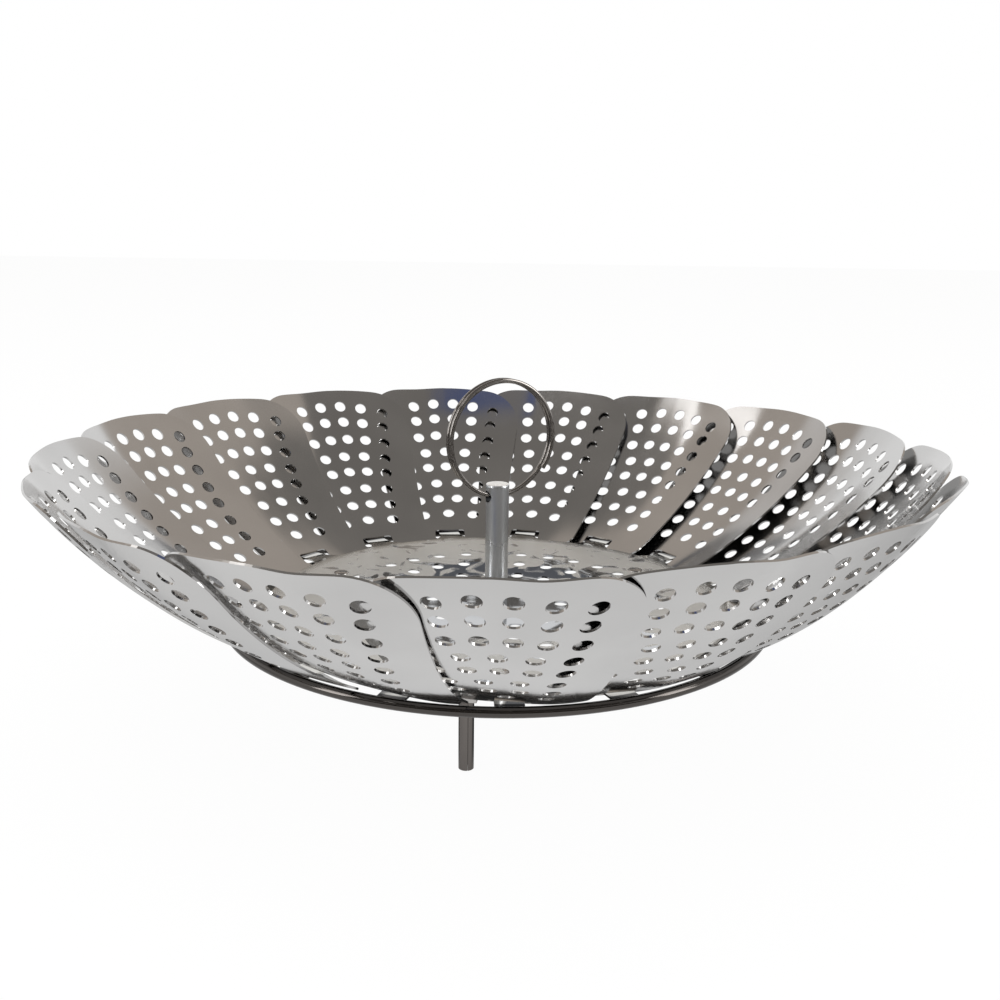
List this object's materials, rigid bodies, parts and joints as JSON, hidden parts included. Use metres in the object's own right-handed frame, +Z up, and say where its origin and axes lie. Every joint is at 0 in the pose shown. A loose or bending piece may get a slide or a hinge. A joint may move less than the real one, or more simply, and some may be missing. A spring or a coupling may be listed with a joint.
{
  "type": "folding steamer basket",
  "caption": "Round folding steamer basket: overlapping perforated leaves hinged to a dished perforated floor on folding legs, with a centre post and a split ring.",
  "frame": {"origin": "on the post's axis, at the table plane under the three feet", "axes": "+Z up along the post, +X to the right and +Y away from the viewer in the picture"},
  "size_m": [0.2269, 0.2292, 0.0863],
  "materials": {
    "leaf_steel": "satin rolled stainless sheet, mirror-like at a low angle",
    "floor_steel": "bright rolled stainless sheet with a rolled bead",
    "leg_steel": "bright stainless, rolled tube with an open seam",
    "post_zinc": "dull turned metal, bright flat top",
    "ring_chrome": "nickel-plated split ring, bright"
  },
  "bodies": {
    "floor": {"base_plate": "floor_steel", "leg_bracket_1": "leg_steel", "leg_bracket_2": "leg_steel", "leg_bracket_3": "leg_steel", "leg_pin_1": "leg_steel", "leg_pin_2": "leg_steel", "leg_pin_3": "leg_steel", "leg_rivet_1": "leg_steel", "leg_rivet_2": "leg_steel", "leg_rivet_3": "leg_steel", "post": "post_zinc", "post_nut": "post_zinc"},
    "leaf_01": {"leaf_01": "leaf_steel"},
    "leaf_02": {"leaf_02": "leaf_steel"},
    "leaf_03": {"leaf_03": "leaf_steel"},
    "leaf_04": {"leaf_04": "leaf_steel"},
    "leaf_05": {"leaf_05": "leaf_steel"},
    "leaf_06": {"leaf_06": "leaf_steel"},
    "leaf_07": {"leaf_07": "leaf_steel"},
    "leaf_08": {"leaf_08": "leaf_steel"},
    "leaf_09": {"leaf_09": "leaf_steel"},
    "leaf_10": {"leaf_10": "leaf_steel"},
    "leaf_11": {"leaf_11": "leaf_steel"},
    "leaf_12": {"leaf_12": "leaf_steel"},
    "leaf_13": {"leaf_13": "leaf_steel"},
    "leaf_14": {"leaf_14": "leaf_steel"},
    "leaf_15": {"leaf_15": "leaf_steel"},
    "leaf_16": {"leaf_16": "leaf_steel"},
    "leaf_17": {"leaf_17": "leaf_steel"},
    "leg_1": {"leg_1": "leg_steel"},
    "leg_2": {"leg_2": "leg_steel"},
    "leg_3": {"leg_3": "leg_steel"},
    "split_ring": {"split_ring": "ring_chrome"}
  },
  "joints": [
    {"name": "leaf_01_fold", "type": "hinge", "parent": "floor", "child": "leaf_01", "pos_m": [0.00316, -0.06693, 0.0267], "axis": [-0.9966, 0.0828, 0], "range_deg": [0, 58]},
    {"name": "leaf_02_fold", "type": "hinge", "parent": "floor", "child": "leaf_02", "pos_m": [0.02712, -0.06127, 0.0267], "axis": [-0.9592, -0.2828, 0], "range_deg": [0, 58]},
    {"name": "leaf_03_fold", "type": "hinge", "parent": "floor", "child": "leaf_03", "pos_m": [0.04742, -0.04733, 0.0267], "axis": [-0.7923, -0.6102, 0], "range_deg": [0, 58]},
    {"name": "leaf_04_fold", "type": "hinge", "parent": "floor", "child": "leaf_04", "pos_m": [0.06132, -0.02701, 0.0267], "axis": [-0.5183, -0.8552, 0], "range_deg": [0, 58]},
    {"name": "leaf_05_fold", "type": "hinge", "parent": "floor", "child": "leaf_05", "pos_m": [0.06693, -0.00303, 0.0267], "axis": [-0.1744, -0.9847, 0], "range_deg": [0, 58]},
    {"name": "leaf_06_fold", "type": "hinge", "parent": "floor", "child": "leaf_06", "pos_m": [0.06351, 0.02135, 0.0267], "axis": [0.1931, -0.9812, 0], "range_deg": [0, 58]},
    {"name": "leaf_07_fold", "type": "hinge", "parent": "floor", "child": "leaf_07", "pos_m": [0.05151, 0.04285, 0.0267], "axis": [0.5345, -0.8452, 0], "range_deg": [0, 58]},
    {"name": "leaf_08_fold", "type": "hinge", "parent": "floor", "child": "leaf_08", "pos_m": [0.03255, 0.05856, 0.0267], "axis": [0.8037, -0.595, 0], "range_deg": [0, 58]},
    {"name": "leaf_09_fold", "type": "hinge", "parent": "floor", "child": "leaf_09", "pos_m": [0.0092, 0.06637, 0.0267], "axis": [0.9644, -0.2645, 0], "range_deg": [0, 58]},
    {"name": "leaf_10_fold", "type": "hinge", "parent": "floor", "child": "leaf_10", "pos_m": [-0.0154, 0.06521, 0.0267], "axis": [0.9948, 0.1017, 0], "range_deg": [0, 58]},
    {"name": "leaf_11_fold", "type": "hinge", "parent": "floor", "child": "leaf_11", "pos_m": [-0.03791, 0.05524, 0.0267], "axis": [0.8909, 0.4542, 0], "range_deg": [0, 58]},
    {"name": "leaf_12_fold", "type": "hinge", "parent": "floor", "child": "leaf_12", "pos_m": [-0.05531, 0.03781, 0.0267], "axis": [0.6666, 0.7454, 0], "range_deg": [0, 58]},
    {"name": "leaf_13_fold", "type": "hinge", "parent": "floor", "child": "leaf_13", "pos_m": [-0.06523, 0.01528, 0.0267], "axis": [0.3524, 0.9359, 0], "range_deg": [0, 58]},
    {"name": "leaf_14_fold", "type": "hinge", "parent": "floor", "child": "leaf_14", "pos_m": [-0.06635, -0.00932, 0.0267], "axis": [-0.0095, 1, 0], "range_deg": [0, 58]},
    {"name": "leaf_15_fold", "type": "hinge", "parent": "floor", "child": "leaf_15", "pos_m": [-0.0585, -0.03266, 0.0267], "axis": [-0.3701, 0.929, 0], "range_deg": [0, 58]},
    {"name": "leaf_16_fold", "type": "hinge", "parent": "floor", "child": "leaf_16", "pos_m": [-0.04276, -0.05158, 0.0267], "axis": [-0.6807, 0.7326, 0], "range_deg": [0, 58]},
    {"name": "leaf_17_fold", "type": "hinge", "parent": "floor", "child": "leaf_17", "pos_m": [-0.02123, -0.06355, 0.0267], "axis": [-0.8994, 0.4372, 0], "range_deg": [0, 58]},
    {"name": "leg_1_fold", "type": "hinge", "parent": "floor", "child": "leg_1", "pos_m": [-0.00655, -0.04659, 0.0227], "axis": [0.9903, -0.1392, 0], "range_deg": [0, 90]},
    {"name": "leg_2_fold", "type": "hinge", "parent": "floor", "child": "leg_2", "pos_m": [0.04362, 0.01762, 0.0227], "axis": [-0.3746, 0.9272, 0], "range_deg": [0, 90]},
    {"name": "leg_3_fold", "type": "hinge", "parent": "floor", "child": "leg_3", "pos_m": [-0.03707, 0.02896, 0.0227], "axis": [-0.6157, -0.788, 0], "range_deg": [0, 90]},
    {"name": "ring_swing", "type": "hinge", "parent": "floor", "child": "split_ring", "pos_m": [0, 0, 0.0558], "axis": [0.8746, 0.4848, 0], "range_deg": [-140, 140]}
  ],
  "couplings": [
    {"joint": "leaf_02_fold", "follows": "leaf_01_fold", "ratio": 1},
    {"joint": "leaf_03_fold", "follows": "leaf_01_fold", "ratio": 1},
    {"joint": "leaf_04_fold", "follows": "leaf_01_fold", "ratio": 1},
    {"joint": "leaf_05_fold", "follows": "leaf_01_fold", "ratio": 1},
    {"joint": "leaf_06_fold", "follows": "leaf_01_fold", "ratio": 1},
    {"joint": "leaf_07_fold", "follows": "leaf_01_fold", "ratio": 1},
    {"joint": "leaf_08_fold", "follows": "leaf_01_fold", "ratio": 1},
    {"joint": "leaf_09_fold", "follows": "leaf_01_fold", "ratio": 1},
    {"joint": "leaf_10_fold", "follows": "leaf_01_fold", "ratio": 1},
    {"joint": "leaf_11_fold", "follows": "leaf_01_fold", "ratio": 1},
    {"joint": "leaf_12_fold", "follows": "leaf_01_fold", "ratio": 1},
    {"joint": "leaf_13_fold", "follows": "leaf_01_fold", "ratio": 1},
    {"joint": "leaf_14_fold", "follows": "leaf_01_fold", "ratio": 1},
    {"joint": "leaf_15_fold", "follows": "leaf_01_fold", "ratio": 1},
    {"joint": "leaf_16_fold", "follows": "leaf_01_fold", "ratio": 1},
    {"joint": "leaf_17_fold", "follows": "leaf_01_fold", "ratio": 1}
  ]
}
